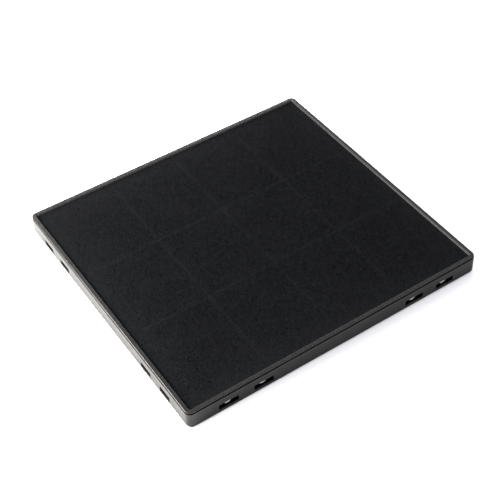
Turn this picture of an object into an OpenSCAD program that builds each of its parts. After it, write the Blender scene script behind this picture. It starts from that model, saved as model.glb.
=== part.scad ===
// Carbon filter cassette for a small fume extractor.
// A drafted tray holds twelve cells of carbon granules between two fleeces. A frame closes it,
// and a sprung tongue hangs behind each window of the tray's wall.
// Origin: middle of the underside. +X runs along the longer side, +Y along the shorter, +Z up.
// "Depth" below means the distance inwards from the side of the cassette's overall box.

/* [Cassette] */
// Length of the cassette along X
cassette_x = 266; // [240:1:300]
// Length of the cassette along Y
cassette_y = 249; // [225:1:280]
// Height of the cassette
cassette_z = 17.5; // [17:0.5:22]

/* [Cover] */
// Depth of the lip's outer edge
lip_inset = 0.4; // [0.3:0.1:0.6]
// Width of the lip round the fleece
lip_w = 3.1; // [2.9:0.1:3.4]
// Thickness of the lip
lip_t = 0.7; // [0.6:0.1:1]
// Rounding of the lip's upper outer edge
lip_edge_r = 0.5; // [0.3:0.1:0.6]
// Width of the slope that leads from the lip down to the fleece
lip_slope = 0.7; // [0.4:0.1:0.9]
// Height of the groove between the lip and the tray's wall
seam = 0.9; // [0.5:0.1:1]

/* [Tray] */
// Corner radius of the wall
wall_corner_r = 4.8; // [4.6:0.1:6]
// Depth of the wall's outer face above its foot
draft = 0.1; // [0:0.05:0.2]
// Rounding of the wall's upper edge
wall_edge_r = 0.25; // [0.1:0.05:0.3]
// Rounding of the wall's lower edge
foot_r = 2.4; // [0.8:0.1:2.4]
// Depth of the wall's inner face
wall_inner = 2.5; // [2.5:0.1:2.7]
// Width of the channel between the outer and the inner wall
channel_w = 2.2; // [2:0.1:2.6]
// Thickness of the inner wall
inner_wall_t = 1.2; // [1:0.1:1.6]
// Thickness of the floor
floor_t = 1.5; // [1.2:0.1:2]
// Width of the floor's border inside the inner wall
floor_border = 3; // [2:0.5:5]
// Width of the floor's ribs
floor_rib = 2.4; // [2:0.1:3]

/* [Windows] */
// Length of a window in the long walls
window_long_x = 17; // [14:0.5:20]
// Length of a window in the short walls
window_long_y = 14; // [13:0.5:16]
// Height of a window
window_h = 5; // [4.5:0.1:5]
// Height of the rail under a window
window_sill = 4.4; // [4.2:0.1:4.6]
// Distance of the outer windows from the cassette's ends
window_end = 33; // [30:0.5:40]
// Solid wall between the two windows of a pair
window_gap = 13.3; // [10:0.1:18]
// Offset along X of the long walls' windows and of the long dividers
layout_shift = 1; // [0:0.1:2]

/* [Tongues] */
// Width of a tongue
tongue_w = 7.7; // [6:0.1:8]
// Thickness of the spring steel
tongue_t = 0.4; // [0.3:0.05:0.5]
// Height of the tongue's tip above the underside
tongue_tip_z = 4.5; // [4.5:0.1:5.5]
// Depth of the tongue's tip, which leans out into the window
tongue_tip_depth = 2.4; // [2:0.1:2.6]
// Length of the rolled head that hangs in the guides
head_w = 12; // [11:0.1:12.4]
// Radius of the rolled head
head_r = 0.45; // [0.4:0.01:0.47]

/* [Filling] */
// Thickness of the lower fleece
lower_fleece_t = 1.5; // [1:0.1:2]
// Thickness of the upper fleece
upper_fleece_t = 2; // [1.5:0.1:2]
// Step from the lip down to the upper fleece
fleece_recess = 1.5; // [1:0.1:2]
// Distance between neighbouring long dividers
divider_pitch = 61; // [55:0.5:66]
// Distance between the two cross dividers
cross_pitch = 74.6; // [66:0.2:84]
// Thickness of the dividers
divider_t = 1.2; // [1:0.1:1.6]

/* [Hidden] */
LONG_DIVIDERS = ["long_divider_1", "long_divider_2", "long_divider_3"];
CROSS_DIVIDERS = ["cross_divider_1", "cross_divider_2"];
BEDS = [for (i = [1:12]) str("carbon_bed_", i)];
TONGUES = [for (i = [1:16]) str("spring_tongue_", i)];
$fn = 64;

hx = cassette_x / 2;
hy = cassette_y / 2;
rebate_t = 1.2;                     // wall left outside the cover's skirt
push_fit = 0.1;                     // clearance between skirt and wall
shelf_gap = 0.2;                    // clearance under the cover's skirt
bed_gap = 0.1;                      // clearance round each bed of granules
half_lap = 0.05;                    // clearance in the dividers' slots

lip_z = cassette_z - lip_t;         // underside of the lip
wall_top = lip_z - seam;
upper_fleece_z = cassette_z - fleece_recess - upper_fleece_t;
ledge_t = 0.8;                      // shelf that the upper fleece is bonded to
skirt_z = upper_fleece_z - ledge_t; // underside of skirt and ledge
shelf_z = skirt_z - shelf_gap;      // top of the inner wall and the guides
skirt_outer = draft + rebate_t + push_fit;
channel_floor = 3;
inner_wall_outer = wall_inner + channel_w;
inner_wall_inner = inner_wall_outer + inner_wall_t;
fleece_edge_gap = 0.1;
lip_inner = lip_inset + lip_w;
fleece_z = cassette_z - fleece_recess;
slope_inner = lip_inner + lip_slope;

divider_z = floor_t + lower_fleece_t;
divider_top = upper_fleece_z - 0.1;
lap_z = (divider_z + divider_top) / 2;
bed_top = upper_fleece_z - 0.3;

// Windows: distances of the outer and the inner centre of a pair from the middle of their wall
window_x = [hx - window_end, hx - window_end - window_long_x - window_gap];
window_y = [hy - window_end, hy - window_end - window_long_y - window_gap];
pair_order = [-1, 1];

// Guides above a window: a tongue's rolled head turns in a groove that is open at the top
guide_z = window_sill + window_h + 0.1;
guide_gap_x = 0.45;
guide_end = 1.2;
groove_t = 1;
pivot_z = shelf_z - groove_t / 2;
pivot_depth = wall_inner + groove_t / 2;
tongue_depth = pivot_depth - tongue_t / 2;
bend_z = window_sill + window_h - 0.2;  // the tongue bends outwards here

// One entry per window: [side, place along the wall]. Side 0 is -Y, then anticlockwise from above.
side_shift = [layout_shift, 0, -layout_shift, 0];
stations = [
    for (side = [0:3])
        let (along = side % 2 == 0 ? window_x : window_y)
        for (place = [-along[0], -along[1], along[1], along[0]])
            [side, place + side_shift[side]]
];

column_x = [for (i = [-2:2]) i * divider_pitch + layout_shift];
row_y = [-cross_pitch, -cross_pitch / 2, cross_pitch / 2, cross_pitch];

function window_long(side) = side % 2 == 0 ? window_long_x : window_long_y;
function half_span(side) = side % 2 == 0 ? hy : hx;

// Carries a child from a wall's own frame to the cassette.
// In it, X runs along the wall, Y is the depth and Z is up.
module on_side(side, place = 0) {
    rotate([0, 0, 90 * side])
        translate([place, -half_span(side), 0])
            children();
}

// Ring round the cassette with the profile drawn as [depth, height].
// The corners turn about a point at the same depth on both sides.
module ring(centre) {
    for (side = [0:3]) {
        length = 2 * half_span(side + 1) - 2 * centre;
        on_side(side)
            translate([-length / 2, 0, 0])
                rotate([90, 0, 90])
                    linear_extrude(length)
                        children();
        on_side(side)
            translate([length / 2, centre, 0])
                rotate([0, 0, -90])
                    rotate_extrude(angle = 90)
                        translate([centre, 0])
                            mirror([1, 0])
                                children();
    }
}

// Rectangle with its sides at the given depth
module slab(depth, thickness, corner = 0) {
    wide = [cassette_x - 2 * depth, cassette_y - 2 * depth];
    linear_extrude(thickness)
        if (corner == 0) {
            square(wide, center = true);
        } else {
            square([wide[0], wide[1] - 2 * corner], center = true);
            square([wide[0] - 2 * corner, wide[1]], center = true);
            for (sx = [-1, 1], sy = [-1, 1])
                translate([sx * (wide[0] / 2 - corner), sy * (wide[1] / 2 - corner)])
                    circle(corner);
        }
}

// Outer wall: rounded foot and upper edge, and a rebate for the cover's skirt
module wall_profile() {
    difference() {
        polygon([
            [0, 0],
            [wall_inner, 0],
            [wall_inner, shelf_z],
            [skirt_outer - push_fit, shelf_z],
            [skirt_outer - push_fit, wall_top],
            [draft, wall_top],
            [draft, wall_top - wall_edge_r],
            [0, foot_r]
        ]);
        square(foot_r);
        translate([draft, wall_top - wall_edge_r]) square(wall_edge_r);
    }
    intersection() {
        square(foot_r);
        translate([foot_r, foot_r]) circle(foot_r);
    }
    intersection() {
        translate([draft, wall_top - wall_edge_r]) square(wall_edge_r);
        translate([draft + wall_edge_r, wall_top - wall_edge_r]) circle(wall_edge_r);
    }
}

// Lip with a rounded outer edge, on a skirt that fits inside the tray's wall
module lip_profile() {
    difference() {
        translate([lip_inset, lip_z]) square([lip_w, lip_t]);
        translate([lip_inset, cassette_z - lip_edge_r]) square(lip_edge_r);
    }
    intersection() {
        translate([lip_inset, lip_z]) square([lip_w, lip_t]);
        translate([lip_inset + lip_edge_r, cassette_z - lip_edge_r]) circle(lip_edge_r);
    }
}

// Skirt, with a slope on its inner side that ends at the fleece
module skirt_profile() {
    polygon([
        [skirt_outer, skirt_z],
        [slope_inner, skirt_z],
        [slope_inner, fleece_z],
        [lip_inner, cassette_z],
        [skirt_outer, cassette_z]
    ]);
}

// One opening of the floor under each of the twelve cells
module cell_openings() {
    x_edge = hx - inner_wall_inner - floor_border;
    y_edge = hy - inner_wall_inner - floor_border;
    for (i = [0:3], j = [0:2]) {
        x0 = i == 0 ? -x_edge : column_x[i] + floor_rib / 2;
        x1 = i == 3 ? x_edge : column_x[i + 1] - floor_rib / 2;
        y0 = j == 0 ? -y_edge : row_y[j] + floor_rib / 2;
        y1 = j == 2 ? y_edge : row_y[j + 1] - floor_rib / 2;
        translate([x0, y0, -1]) cube([x1 - x0, y1 - y0, floor_t + 2]);
    }
}

// Pair of blocks above a window, with a groove each for the ends of a tongue's head
module guides() {
    block_in = tongue_w / 2 + guide_gap_x;
    block_w = head_w / 2 + guide_end - block_in;
    for (end = pair_order)
        translate([end * (block_in + block_w / 2) - block_w / 2, 0, 0])
            difference() {
                translate([0, wall_inner, guide_z])
                    cube([block_w, channel_w, shelf_z - guide_z]);
                translate([end < 0 ? guide_end - 0.2 : -1, wall_inner, pivot_z - groove_t / 2])
                    cube([block_w - guide_end + 1.2, groove_t, shelf_z]);
            }
}

module tray_frame() {
    color("#242426")
        difference() {
            union() {
                ring(wall_corner_r) wall_profile();
                difference() {
                    slab(wall_inner, channel_floor, wall_corner_r - wall_inner);
                    translate([0, 0, floor_t]) slab(inner_wall_inner, channel_floor);
                    cell_openings();
                }
                difference() {
                    slab(inner_wall_outer, shelf_z, 1);
                    translate([0, 0, -1]) slab(inner_wall_inner, shelf_z + 2);
                }
                for (s = stations)
                    on_side(s[0], s[1]) guides();
            }
            for (s = stations)
                on_side(s[0], s[1])
                    translate([-window_long(s[0]) / 2, -1, window_sill])
                        cube([window_long(s[0]), wall_inner + 1.5, window_h]);
        }
}

module cover_frame() {
    color("#2b2b2d")
        union() {
            ring(wall_corner_r) lip_profile();
            ring(wall_corner_r) skirt_profile();
            difference() {
                translate([0, 0, skirt_z])
                    slab(skirt_outer, ledge_t, wall_corner_r - skirt_outer);
                translate([0, 0, skirt_z - 1])
                    slab(inner_wall_inner, ledge_t + 2);
            }
        }
}

module upper_fleece() {
    depth = slope_inner + fleece_edge_gap;
    color("#38383a")
        translate([0, 0, upper_fleece_z])
            slab(depth, upper_fleece_t, wall_corner_r - depth);
}

module lower_fleece() {
    color("#343436")
        translate([0, 0, floor_t])
            slab(inner_wall_inner + bed_gap, lower_fleece_t);
}

// Strips cross by half-lap slots: the long ones are cut from above, the cross ones from below
module long_divider(i) {
    length = cassette_y - 2 * inner_wall_inner - 2 * bed_gap;
    color("#1e1e20")
        difference() {
            translate([column_x[i] - divider_t / 2, -length / 2, divider_z])
                cube([divider_t, length, divider_top - divider_z]);
            for (j = [1, 2])
                translate([column_x[i] - divider_t, row_y[j] - divider_t / 2 - half_lap, lap_z])
                    cube([2 * divider_t, divider_t + 2 * half_lap, cassette_z]);
        }
}

module cross_divider(j) {
    length = cassette_x - 2 * inner_wall_inner - 2 * bed_gap;
    color("#1e1e20")
        difference() {
            translate([-length / 2, row_y[j] - divider_t / 2, divider_z])
                cube([length, divider_t, divider_top - divider_z]);
            for (i = [1:3])
                translate([column_x[i] - divider_t / 2 - half_lap, row_y[j] - divider_t, 0])
                    cube([divider_t + 2 * half_lap, 2 * divider_t, lap_z + half_lap]);
        }
}

// Beds are counted along X first, from the corner at -X -Y
module carbon_bed(n) {
    i = n % 4;
    j = floor(n / 4);
    side = divider_t / 2 + bed_gap;
    x_edge = hx - inner_wall_inner - bed_gap;
    y_edge = hy - inner_wall_inner - bed_gap;
    x0 = i == 0 ? -x_edge : column_x[i] + side;
    x1 = i == 3 ? x_edge : column_x[i + 1] - side;
    y0 = j == 0 ? -y_edge : row_y[j] + side;
    y1 = j == 2 ? y_edge : row_y[j + 1] - side;
    color("#141415")
        translate([x0, y0, divider_z + bed_gap])
            cube([x1 - x0, y1 - y0, bed_top - divider_z - bed_gap]);
}

// Side view of a tongue's strip as [depth, height]: it hangs straight, then leans outwards
module tongue_profile() {
    polygon([
        [tongue_depth, pivot_z],
        [tongue_depth + tongue_t, pivot_z],
        [tongue_depth + tongue_t, bend_z],
        [tongue_tip_depth + tongue_t, tongue_tip_z],
        [tongue_tip_depth, tongue_tip_z],
        [tongue_depth, bend_z]
    ]);
}

// Strip of spring steel with a round tip, hung from a head that is rolled into a bead
module spring_tongue(n) {
    s = stations[n];
    tip_r = tongue_w / 2;
    color("#c9cbce")
        on_side(s[0], s[1]) {
            intersection() {
                translate([-tip_r, 0, 0])
                    rotate([90, 0, 90])
                        linear_extrude(tongue_w)
                            tongue_profile();
                union() {
                    translate([-tongue_w, 0, tongue_tip_z + tip_r])
                        cube([2 * tongue_w, inner_wall_outer, cassette_z]);
                    translate([0, 0, tongue_tip_z + tip_r])
                        rotate([-90, 0, 0])
                            cylinder(h = inner_wall_outer, r = tip_r);
                }
            }
            translate([-head_w / 2, pivot_depth, pivot_z])
                rotate([0, 90, 0])
                    cylinder(h = head_w, r = head_r);
        }
}

tray_frame();
cover_frame();
upper_fleece();
lower_fleece();
for (i = [0:2]) long_divider(i + 1);
for (j = [0:1]) cross_divider(j + 1);
for (n = [0:11]) carbon_bed(n);
for (n = [0:15]) spring_tongue(n);
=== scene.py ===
"""Carbon filter cassette: the looks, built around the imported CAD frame. Metres, +Z up.

The two plastics, the dividers and the steel tongues are CAD nodes with new materials. The two
fleeces and the twelve beds of granules are finer meshes in the space of the nodes they replace.
"Depth" below means the distance inwards from the side of the cassette's overall box.
"""

import math

import bmesh
import bpy
import numpy as np
from mathutils import Matrix, Vector


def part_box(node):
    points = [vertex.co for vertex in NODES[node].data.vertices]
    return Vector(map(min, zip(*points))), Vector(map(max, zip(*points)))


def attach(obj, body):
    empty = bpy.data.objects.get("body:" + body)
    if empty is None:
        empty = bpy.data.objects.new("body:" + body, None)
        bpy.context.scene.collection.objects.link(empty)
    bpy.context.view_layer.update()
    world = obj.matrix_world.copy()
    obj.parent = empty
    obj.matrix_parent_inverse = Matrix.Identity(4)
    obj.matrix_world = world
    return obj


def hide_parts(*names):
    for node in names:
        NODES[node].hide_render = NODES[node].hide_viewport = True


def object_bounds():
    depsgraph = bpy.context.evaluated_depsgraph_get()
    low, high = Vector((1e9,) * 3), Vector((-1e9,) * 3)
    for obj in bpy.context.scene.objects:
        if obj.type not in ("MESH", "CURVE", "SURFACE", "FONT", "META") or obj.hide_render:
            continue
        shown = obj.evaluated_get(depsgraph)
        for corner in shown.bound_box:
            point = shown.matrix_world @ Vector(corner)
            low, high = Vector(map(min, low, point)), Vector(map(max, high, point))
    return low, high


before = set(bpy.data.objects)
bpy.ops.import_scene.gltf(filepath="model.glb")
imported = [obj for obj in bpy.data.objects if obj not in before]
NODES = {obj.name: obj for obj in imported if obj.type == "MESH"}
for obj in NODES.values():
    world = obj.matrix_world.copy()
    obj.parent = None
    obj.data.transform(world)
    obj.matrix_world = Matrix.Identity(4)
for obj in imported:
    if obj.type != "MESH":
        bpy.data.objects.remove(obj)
cad_low, cad_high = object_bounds()

MM = 0.001

# The object's own parts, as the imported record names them
DIVIDERS = sorted(n for n in NODES if "_divider_" in n)
BEDS = sorted(n for n in NODES if n.startswith("carbon_bed_"))
TONGUES = sorted(n for n in NODES if n.startswith("spring_tongue_"))

# Where the mouldings' look changes, on the section that the CAD gives them
WALL_CORNER = 4.8 * MM   # radius of the walls' corners, seen from above
FOOT_TOP = 3 * MM        # just above the wall's rounded foot
PAINTED_LIGHT_TOP = 14.5 * MM   # height from which the wall has its full painted light
SHADE_START = 15.3 * MM  # just below the wall's upper edge, where painted shade of the lip starts
GROOVE_TOP = 16.7 * MM   # just below the lip
LIP_INNER = 3.5 * MM     # depth at which the lip slopes down to the fleece

# ---------------------------------------------------------------- node helpers


class Shader:
    """A principled material whose sockets are filled from small chains of nodes"""

    def __init__(self, name):
        self.material = bpy.data.materials.new(name)
        self.material.use_nodes = True
        self.tree = self.material.node_tree
        self.tree.nodes.clear()
        output = self.add("ShaderNodeOutputMaterial")
        self.bsdf = self.add("ShaderNodeBsdfPrincipled")
        self.tree.links.new(self.bsdf.outputs[0], output.inputs[0])
        self.place = self.add("ShaderNodeTexCoord").outputs["Object"]

    def add(self, kind, **settings):
        node = self.tree.nodes.new(kind)
        for key, value in settings.items():
            setattr(node, key, value)
        return node

    def put(self, socket, value):
        """Links a socket to another one, or sets it to a constant"""
        if isinstance(value, bpy.types.NodeSocket):
            self.tree.links.new(value, socket)
        else:
            socket.default_value = value

    def set(self, **values):
        """Fills the shader's own sockets, named with _ for each space"""
        for key, value in values.items():
            self.put(self.bsdf.inputs[key.replace("_", " ")], value)

    def math(self, operation, a, b=0.0):
        node = self.add("ShaderNodeMath", operation=operation)
        self.put(node.inputs[0], a)
        self.put(node.inputs[1], b)
        return node.outputs[0]

    def blend(self, *weighted):
        """Sum of values, each with its weight"""
        total = None
        for value, weight in weighted:
            share = self.math("MULTIPLY", value, weight)
            total = share if total is None else self.math("ADD", total, share)
        return total

    def remap(self, value, low, high, to_low=0.0, to_high=1.0):
        """Takes low..high to to_low..to_high, and holds the ends beyond them"""
        node = self.add("ShaderNodeMapRange")
        for socket, v in zip(node.inputs, (value, low, high, to_low, to_high)):
            self.put(socket, v)
        return node.outputs[0]

    def mapped(self, turn, scale, source=None):
        """Coordinates turned about Z and then scaled"""
        node = self.add("ShaderNodeMapping")
        self.put(node.inputs[0], source or self.place)
        node.inputs["Rotation"].default_value = (0, 0, turn)
        node.inputs["Scale"].default_value = scale
        return node.outputs[0]

    def noise(self, size, detail=2.0, rough=0.5, distort=0.0, source=None, output="Fac"):
        """Noise whose blobs are about size metres across"""
        node = self.add("ShaderNodeTexNoise")
        self.put(node.inputs["Vector"], source or self.place)
        node.inputs["Scale"].default_value = 1 / size
        node.inputs["Detail"].default_value = detail
        node.inputs["Roughness"].default_value = rough
        node.inputs["Distortion"].default_value = distort
        return node.outputs[output]

    def cells(self, size):
        """Distance from the middles of cells about size metres across"""
        node = self.add("ShaderNodeTexVoronoi")
        self.put(node.inputs["Vector"], self.place)
        node.inputs["Scale"].default_value = 1 / size
        return node.outputs["Distance"]

    def mix(self, share, a, b):
        """Colour a where the share is 0, and b where it is 1"""
        node = self.add("ShaderNodeMix", data_type="RGBA")
        self.put(node.inputs[0], share)
        self.put(node.inputs[6], a)
        self.put(node.inputs[7], b)
        return node.outputs[2]

    def bump(self, height, distance, strength, under=None):
        node = self.add("ShaderNodeBump")
        self.put(node.inputs["Height"], height)
        node.inputs["Distance"].default_value = distance
        node.inputs["Strength"].default_value = strength
        if under is not None:
            self.put(node.inputs["Normal"], under)
        return node.outputs[0]


def grey(level, tint=(1.0, 1.0, 1.0)):
    return tuple(level * t for t in tint) + (1.0,)


# ---------------------------------------------------------------- materials

PAINTED_SHADE = grey(0.0008)   # painted shade: near-black colour for the hollows that little light gets into


def depth_and_height(s):
    """Depth behind the walls, measured squarely off their rounded corners too, and height"""
    axes = s.add("ShaderNodeSeparateXYZ")
    s.put(axes.inputs[0], s.place)
    past = []
    for i in range(2):
        half = max(abs(cad_low[i]), abs(cad_high[i]))
        over = s.math("SUBTRACT", s.math("ABSOLUTE", axes.outputs[i]), half - WALL_CORNER)
        past.append(s.math("POWER", s.math("MAXIMUM", over, 0.0), 2.0))
    depth = s.math("SUBTRACT", WALL_CORNER, s.math("SQRT", s.math("ADD", *past)))
    return depth, axes.outputs[2]


def painted_shade_share(s, depth, height, low, high, deep):
    """1 in the hollows between two heights and up to a depth, and softly down to 0 outside"""
    share = s.math(
        "MULTIPLY",
        s.remap(depth, 0.4 * MM, 1.2 * MM),
        s.remap(depth, deep + 0.4 * MM, deep),
    )
    share = s.math("MULTIPLY", share, s.remap(height, low, low + 0.8 * MM))
    return s.math("MULTIPLY", share, s.remap(height, high, high - 0.3 * MM))


def moulded_plastic(name, dark, light, rough, shine, shade_region=None, painted_top_light=None, painted_inner_highlight=None):
    """Black moulding: spark-eroded grain, faint flow marks and handling marks in the gloss

    shade_region is the lowest height, the highest height and the greatest depth of the hollows
    that get painted shade, a near-black, dull colour. painted_top_light is the colour that the
    wall turns to towards its top, painted light, and it also brings painted shade under the lip.
    painted_inner_highlight is the colour of the lip's inner face, a painted highlight.
    """
    s = Shader(name)
    grain = s.noise(0.35 * MM, detail=3, rough=0.6)
    pits = s.cells(0.5 * MM)
    flow = s.noise(18 * MM, detail=3, rough=0.55, distort=0.6)
    mottle = s.noise(2.4 * MM, detail=4, rough=0.65)
    tone = s.blend((flow, 0.45), (mottle, 0.55))
    colour = s.mix(s.remap(tone, 0.35, 0.65), dark, light)
    if shade_region:
        depth, height = depth_and_height(s)
        share = painted_shade_share(s, depth, height, *shade_region)
        if painted_top_light:
            # Painted shade: the wall's upper edge under the lip turns near-black and dull
            shaded = s.remap(height, SHADE_START, SHADE_START + 0.3 * MM)
            share = s.math("MAXIMUM", share, shaded)
            # Painted light: the wall turns paler from just above its foot up to its top
            upwards = s.remap(height, FOOT_TOP, PAINTED_LIGHT_TOP)
            colour = s.mix(upwards, colour, s.mix(tone, light, painted_top_light))
        # Painted shade: the hollows turn near-black and dull in place of their shading
        colour = s.mix(share, colour, PAINTED_SHADE)
        shine = s.remap(share, 0, 1, shine, 0.02)
        # Painted highlight: the lip's inner face is paler than the rest of the cover
        if painted_inner_highlight:
            inner = s.remap(depth, LIP_INNER - 0.25 * MM, LIP_INNER)
            colour = s.mix(inner, colour, painted_inner_highlight)
    s.set(Base_Color=colour)
    s.set(Roughness=s.remap(mottle, 0.3, 0.7, rough - 0.05, rough + 0.07))
    s.set(Specular_IOR_Level=shine)
    s.set(Normal=s.bump(s.blend((grain, 0.7), (pits, 0.3)), 0.012 * MM, 0.9))
    return s.material


def felt(name, dark, light, directions=7):
    """Non-woven fleece: a mat of crossing fibres over a cloudy, clumped ground

    It is paler where the sheet's attribute for pressing and sheen is high: along the lines where
    the dividers press it, and within some millimetres of its cut edge, where the paler tone is
    painted sheen.
    """
    s = Shader(name)
    wander = s.noise(1.6 * MM, detail=2, output="Color")
    bent = s.add("ShaderNodeVectorMath", operation="MULTIPLY_ADD")
    for socket, value in zip(bent.inputs, (wander, (0.5 * MM,) * 3, s.place)):
        s.put(socket, value)
    mat = None
    for i in range(directions):
        turn = math.pi * (i + 0.37 * (i % 2)) / directions
        along = s.mapped(turn, (1, 0.045, 1), bent.outputs[0])
        width = (0.16 + 0.03 * (i % 3)) * MM
        fibres = s.remap(s.noise(width, detail=1, rough=0.4, source=along), 0.56, 0.7)
        mat = fibres if mat is None else s.math("MAXIMUM", mat, fibres)
    clumps = s.noise(1.05 * MM, detail=3, rough=0.75)
    cloud = s.noise(26 * MM, detail=4, rough=0.6)
    pressed_and_sheen = s.add("ShaderNodeAttribute", attribute_name="pressed_and_sheen").outputs["Fac"]
    tone = s.blend((mat, 0.3), (clumps, 1.1), (cloud, 0.08), (pressed_and_sheen, 0.08))
    s.set(Base_Color=s.mix(s.remap(tone, 0.57, 0.93), dark, light))
    s.set(Roughness=s.remap(mat, 0, 1, 0.9, 0.68))
    s.set(Specular_IOR_Level=0.0)
    lumps = s.bump(clumps, 0.35 * MM, 0.6)
    s.set(Normal=s.bump(mat, 0.07 * MM, 0.6, under=lumps))
    return s.material


def carbon_granules(name):
    """Activated carbon: porous black with duller and shinier flakes"""
    s = Shader(name)
    flake = s.cells(1.3 * MM)
    pores = s.noise(0.3 * MM, detail=4, rough=0.7)
    s.set(Base_Color=s.mix(s.remap(pores, 0.35, 0.7), grey(0.006), grey(0.022)))
    s.set(Roughness=s.remap(flake, 0.1, 0.6, 0.4, 0.8))
    s.set(Specular_IOR_Level=0.3)
    s.set(Normal=s.bump(pores, 0.08 * MM, 0.7))
    return s.material


def spring_steel(name):
    """Rolled strip: fine lines along its length, and faint smudges"""
    s = Shader(name)
    lines = s.noise(0.12 * MM, detail=2, source=s.mapped(0, (1, 1, 0.05)))
    smudge = s.noise(3 * MM, detail=3)
    s.set(Base_Color=s.mix(smudge, grey(0.6, (1, 0.99, 0.97)), grey(0.7, (1, 0.995, 0.98))))
    s.set(Metallic=1.0)
    s.set(Roughness=s.remap(lines, 0.3, 0.7, 0.55, 0.68))
    s.set(Normal=s.bump(lines, 0.004 * MM, 0.5))
    return s.material


def pale_floor(name):
    s = Shader(name)
    paper = s.noise(90 * MM, detail=3)
    s.set(Base_Color=s.mix(paper, grey(0.86), grey(0.9)))
    s.set(Roughness=s.remap(paper, 0.3, 0.7, 0.75, 0.85))
    s.set(Specular_IOR_Level=0.2)
    return s.material


# Painted shade: the tray's inside and the cover's skirt in the groove under the lip get a
# near-black, dull colour; the tray's walls also get painted light towards their top, and the
# cover's lip a painted highlight on its inner face
TRAY_PLASTIC = moulded_plastic(
    "tray_plastic", grey(0.002, (1, 1, 0.97)), grey(0.005, (1, 1, 0.96)), rough=0.4, shine=0.1,
    shade_region=(2.5 * MM, 20 * MM, 100 * MM), painted_top_light=grey(0.017, (1, 1, 0.97)))
COVER_PLASTIC = moulded_plastic(
    "cover_plastic", grey(0.004), grey(0.007, (1, 1, 0.99)), rough=0.26, shine=0.2,
    shade_region=(-2 * MM, GROOVE_TOP, 2.4 * MM), painted_inner_highlight=grey(0.014))
DIVIDER_PLASTIC = moulded_plastic(
    "divider_plastic", grey(0.008), grey(0.012), rough=0.5, shine=0.3)
FLEECE = felt("fleece", grey(0.0001), grey(0.0065, (0.93, 0.99, 1.06)))
CARBON = carbon_granules("carbon")
STEEL = spring_steel("spring_steel")

# ---------------------------------------------------------------- carried-over CAD nodes


def dress(node, material, edge):
    """Gives a CAD node its material and softens its sharp edges"""
    piece = NODES[node]
    piece.data.materials.clear()
    piece.data.materials.append(material)
    bevel = piece.modifiers.new("edges", "BEVEL")
    bevel.width = edge
    bevel.segments = 2
    bevel.limit_method = "ANGLE"
    bevel.angle_limit = math.radians(35)


dress("tray_frame", TRAY_PLASTIC, 0.12 * MM)
dress("cover_frame", COVER_PLASTIC, 0.1 * MM)
for name in DIVIDERS:
    dress(name, DIVIDER_PLASTIC, 0.12 * MM)
for name in TONGUES:
    dress(name, STEEL, 0.05 * MM)

# ---------------------------------------------------------------- fleeces


def centre_of(node, axis):
    low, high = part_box(node)
    return (low[axis] + high[axis]) / 2


# The dividers' places, which the fleece shows as lines
LONG_X = [centre_of(f"long_divider_{i}", 0) for i in (1, 2, 3)]
CROSS_Y = [centre_of(f"cross_divider_{j}", 1) for j in (1, 2)]
RIDGE_W = 1.2 * MM

# Spacing of the sheets' grids, and the finer spacing near a divider or an edge
GRID = 1.6 * MM
FINE_GRID = 0.3 * MM
FINE_REACH = 1.8 * MM


def ticks(low, high, marks):
    """Grid places from low to high, closer together near each mark"""
    def near(x):
        return any(abs(x - m) < FINE_REACH for m in marks)

    places = [low]
    while places[-1] < high - 1e-9:
        gap = FINE_GRID if near(places[-1]) or near(places[-1] + GRID) else GRID
        places.append(min(places[-1] + gap, high))
    return np.array(places)


def waves(x, y, seed, size):
    """Smooth bumps about size across, mostly from -1 to 1, made of fourteen crossed waves"""
    rng = np.random.default_rng(seed)
    total = np.zeros(np.broadcast(x, y).shape)
    for _ in range(14):
        turn, shift = rng.uniform(0, 2 * math.pi, 2)
        length = size * rng.uniform(0.6, 1.8)
        across = x * math.cos(turn) + y * math.sin(turn)
        total += np.sin(2 * math.pi * across / length + shift)
    return total / 5


def new_piece(name, points, faces):
    mesh = bpy.data.meshes.new(name)
    mesh.from_pydata(points, [], faces)
    mesh.validate()
    piece = bpy.data.objects.new(name, mesh)
    bpy.context.collection.objects.link(piece)
    return piece


def grid_sheet(name, xs, ys, tops, bottoms):
    """Closed sheet on a grid, with a top and a bottom height at every point"""
    gx, gy = np.meshgrid(xs, ys, indexing="ij")
    above = np.stack([gx, gy, tops], -1).reshape(-1, 3)
    below = np.stack([gx, gy, bottoms], -1).reshape(-1, 3)
    n = len(above)
    index = np.arange(n).reshape(gx.shape)
    a, b = index[:-1, :-1].ravel(), index[1:, :-1].ravel()
    c, d = index[1:, 1:].ravel(), index[:-1, 1:].ravel()
    faces = [*zip(a, b, c, d), *zip(d + n, c + n, b + n, a + n)]
    rim = [*index[:, 0], *index[-1, 1:], *index[-2::-1, -1], *index[0, -2:0:-1]]
    for p, q in zip(rim, rim[1:] + rim[:1]):
        faces.append((q, p, p + n, q + n))
    faces = [tuple(map(int, f)) for f in faces]
    piece = new_piece(name, np.concatenate([above, below]).tolist(), faces)
    piece.data.shade_smooth()
    return piece


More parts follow.
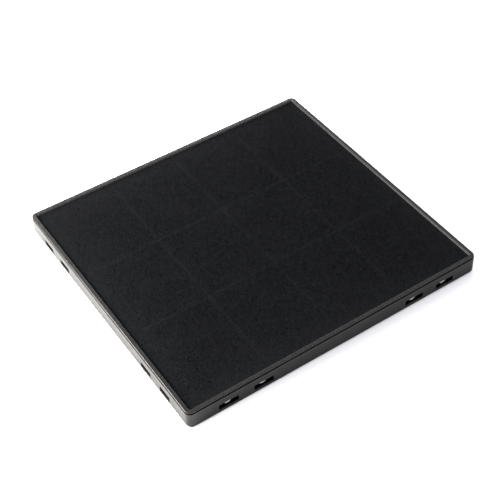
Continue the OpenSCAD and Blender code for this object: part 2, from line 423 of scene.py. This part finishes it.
def fleece_sheet(name, node, body, seed, edge_round, ridge=0.0, sag=0.0):
    """Fleece with a rounded cut edge

    With a ridge, its top shows the dividers under it, up to that height. With a sag, its
    underside bulges down between the long dividers, by up to that much.
    """
    low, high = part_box(node)
    xs = ticks(low[0], high[0], LONG_X + [low[0], high[0]])
    ys = ticks(low[1], high[1], CROSS_Y + [low[1], high[1]])
    x, y = xs[:, None], ys[None, :]
    inset = np.minimum(np.minimum(x - low[0], high[0] - x), np.minimum(y - low[1], high[1] - y))

    # how hard the dividers press, along slightly wandering lines that end short of the edge
    wobble = 0.12 * MM * waves(x, y, seed, 40 * MM)
    strength = 0.8 + 0.15 * waves(x, y, seed + 1, 22 * MM)
    fade = np.clip(inset / (14 * MM), 0, 1)
    lines = np.zeros(inset.shape)
    for place, marks in ((x, LONG_X), (y, CROSS_Y)):
        for mark in marks:
            lines = np.maximum(lines, np.exp(-(((place + wobble - mark) / RIDGE_W) ** 2)))

    around = np.clip(inset / edge_round, 0, 1)
    shoulder = edge_round * (1 - np.sqrt(1 - (1 - around) ** 2))
    if ridge:
        rise = ridge * lines * strength.clip(0.3, 1.2) * fade
        rise += 0.06 * MM * waves(x, y, seed + 2, 30 * MM) * fade
        rise += 0.02 * MM * waves(x, y, seed + 3, 5 * MM)
        top = np.minimum(high[2] - ridge * 1.2 + rise, high[2])
    else:
        top = np.full(inset.shape, high[2])
    between = np.abs(np.sin(math.pi * (x - LONG_X[1]) / (LONG_X[1] - LONG_X[0])))
    bottom = low[2] + sag - sag * between * np.clip(inset / (20 * MM), 0, 1)
    piece = grid_sheet(name, xs, ys, top - shoulder * 0.8, bottom + shoulder * 0.1)

    pressed_and_sheen = piece.data.attributes.new("pressed_and_sheen", "FLOAT", "POINT")
    # Painted sheen: the fleece is paler within some 16 mm of its cut edge; the paler lines over
    # the dividers are real pressing
    edge_sheen = 1.3 * np.exp(-inset / (16 * MM))
    share = (np.clip(lines * strength * fade, 0, 1) + edge_sheen).ravel()
    pressed_and_sheen.data.foreach_set("value", np.concatenate([share, share]).astype(np.float32))
    piece.data.materials.append(FLEECE)
    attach(piece, body)
    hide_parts(node)
    return piece


upper = fleece_sheet(
    "upper_fleece_sheet", "upper_fleece", "cover", seed=5, edge_round=0.6 * MM, ridge=0.08 * MM)
lower = fleece_sheet(
    "lower_fleece_sheet", "lower_fleece", "tray", seed=9, edge_round=0.4 * MM, sag=0.2 * MM)

# ---------------------------------------------------------------- beds of granules

GRAIN = 2.3 * MM


def chip(rng):
    """One broken granule: a small convex lump with flat faces, about one unit across"""
    form = bmesh.new()
    for _ in range(11):
        p = Vector(rng.normal(size=3))
        p.normalize()
        form.verts.new(Vector((p.x * 0.5, p.y * 0.42, p.z * 0.36)) * rng.uniform(0.85, 1.1))
    hull = bmesh.ops.convex_hull(form, input=form.verts)
    bmesh.ops.delete(form, geom=hull["geom_interior"], context="VERTS")
    bmesh.ops.triangulate(form, faces=form.faces)
    form.verts.index_update()
    points = np.array([v.co[:] for v in form.verts])
    faces = np.array([[v.index for v in f.verts] for f in form.faces])
    form.free()
    return points, faces


def any_turn(rng):
    """Matrix of a random rotation, from a random unit quaternion"""
    q = rng.normal(size=4)
    w, x, y, z = q / np.linalg.norm(q)
    return np.array([
        [1 - 2 * (y * y + z * z), 2 * (x * y - z * w), 2 * (x * z + y * w)],
        [2 * (x * y + z * w), 1 - 2 * (x * x + z * z), 2 * (y * z - x * w)],
        [2 * (x * z - y * w), 2 * (y * z + x * w), 1 - 2 * (x * x + y * y)],
    ])


def granule_bed(node, seed, chips):
    """A cell's filling: a solid block with a loose layer of granules on top"""
    rng = np.random.default_rng(seed)
    low, high = (np.array(c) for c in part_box(node))
    block_top = high[2] - 0.75 * GRAIN
    corners = [(x, y, z) for z in (low[2], block_top) for x, y in (
        (low[0], low[1]), (high[0], low[1]), (high[0], high[1]), (low[0], high[1]))]
    faces = [(3, 2, 1, 0), (4, 5, 6, 7), (0, 1, 5, 4), (1, 2, 6, 5), (2, 3, 7, 6), (3, 0, 4, 7)]
    points, count = [np.array(corners)], len(corners)
    step = GRAIN * 0.8
    for i, x in enumerate(np.arange(low[0] + GRAIN * 0.55, high[0] - GRAIN * 0.5, step)):
        # every other row starts half a step further on
        for y in np.arange(low[1] + GRAIN * (0.55 + 0.4 * (i % 2)), high[1] - GRAIN * 0.5, step):
            lump, lump_faces = chips[rng.integers(len(chips))]
            size = GRAIN * rng.uniform(0.7, 1.05)
            at = np.array([x, y, block_top]) + rng.uniform(-0.2, 0.2, 3) * GRAIN * (1, 1, 0.6)
            at[2] += 0.2 * GRAIN
            lump = np.clip((lump * size) @ any_turn(rng).T + at, low, high)
            points.append(lump)
            faces.extend((lump_faces + count).tolist())
            count += len(lump)
    piece = new_piece(node + "_granules", np.concatenate(points).tolist(), faces)
    piece.data.materials.append(CARBON)
    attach(piece, "tray")
    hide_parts(node)


chip_rng = np.random.default_rng(31)
CHIPS = [chip(chip_rng) for _ in range(24)]
for number, name in enumerate(BEDS):
    granule_bed(name, 100 + number, CHIPS)

# ---------------------------------------------------------------- floor, light and camera

WARM = (1.0, 0.97, 0.93)
WHITE = (1.0, 1.0, 1.0)


def stage_floor():
    half = 4.0
    mesh = bpy.data.meshes.new("floor")
    corners = [(-half, -half, 0), (half, -half, 0), (half, half, 0), (-half, half, 0)]
    mesh.from_pydata(corners, [], [(0, 1, 2, 3)])
    mesh.materials.append(pale_floor("pale_floor"))
    floor = bpy.data.objects.new("floor", mesh)
    floor.location.z = cad_low[2] - 0.05 * MM
    bpy.context.collection.objects.link(floor)


def softbox(name, at, aim, size, power, tint):
    light = bpy.data.lights.new(name, "AREA")
    light.shape = "RECTANGLE"
    light.size, light.size_y = size
    light.energy = power
    light.color = tint
    lamp = bpy.data.objects.new(name, light)
    lamp.location = at
    lamp.rotation_euler = (Vector(aim) - Vector(at)).to_track_quat("-Z", "Y").to_euler()
    bpy.context.collection.objects.link(lamp)


def studio():
    """White surroundings, a warm key from the left, and low strips that graze the fleece"""
    world = bpy.data.worlds.new("studio")
    world.use_nodes = True
    background = world.node_tree.nodes["Background"]
    background.inputs["Color"].default_value = (0.955, 0.95, 1.0, 1.0)
    background.inputs["Strength"].default_value = 1.46
    bpy.context.scene.world = world
    softbox("key", (-0.62, 0.25, 0.3), (-0.05, 0, 0), (0.4, 0.3), 34, WARM)
    softbox("glint", (-0.41, 0.54, 0.59), (0, 0, 0), (0.2, 0.2), 4, WHITE)
    softbox("fill", (0.3, -0.85, 0.12), (0, 0.1, 0), (0.8, 0.12), 0.8, WHITE)
    softbox("back", (0.08, 0.34, 0.08), (0.08, 0.1, 0), (0.4, 0.05), 4.2, WARM)
    softbox("side", (-0.36, -0.1, 0.08), (-0.1, -0.1, 0), (0.25, 0.05), 1.8, WARM)


def camera():
    """Looks down at the corner between the -X and -Y walls"""
    azimuth, elevation, roll = (math.radians(a) for a in (-31.873, 45.59, -2.784))
    distance = 0.924
    back = Vector((
        math.sin(azimuth) * math.cos(elevation),
        -math.cos(azimuth) * math.cos(elevation),
        math.sin(elevation),
    ))
    level = Vector((0, 0, 1)).cross(back).normalized()
    rise = back.cross(level)
    right = math.cos(roll) * level + math.sin(roll) * rise
    up = back.cross(right)
    target = Vector((1.7, -1.35, 0)) * MM - level * 0.45 * MM - rise * 0.15 * MM
    turn = Matrix((right, up, back)).transposed().to_4x4()
    lens = bpy.data.cameras.new("camera")
    lens.sensor_width = 36
    lens.lens = 81.74
    eye = bpy.data.objects.new("camera", lens)
    eye.matrix_world = Matrix.Translation(target + back * distance) @ turn
    bpy.context.collection.objects.link(eye)
    bpy.context.scene.camera = eye


stage_floor()
studio()
camera()
bpy.context.scene.view_settings.view_transform = "Standard"
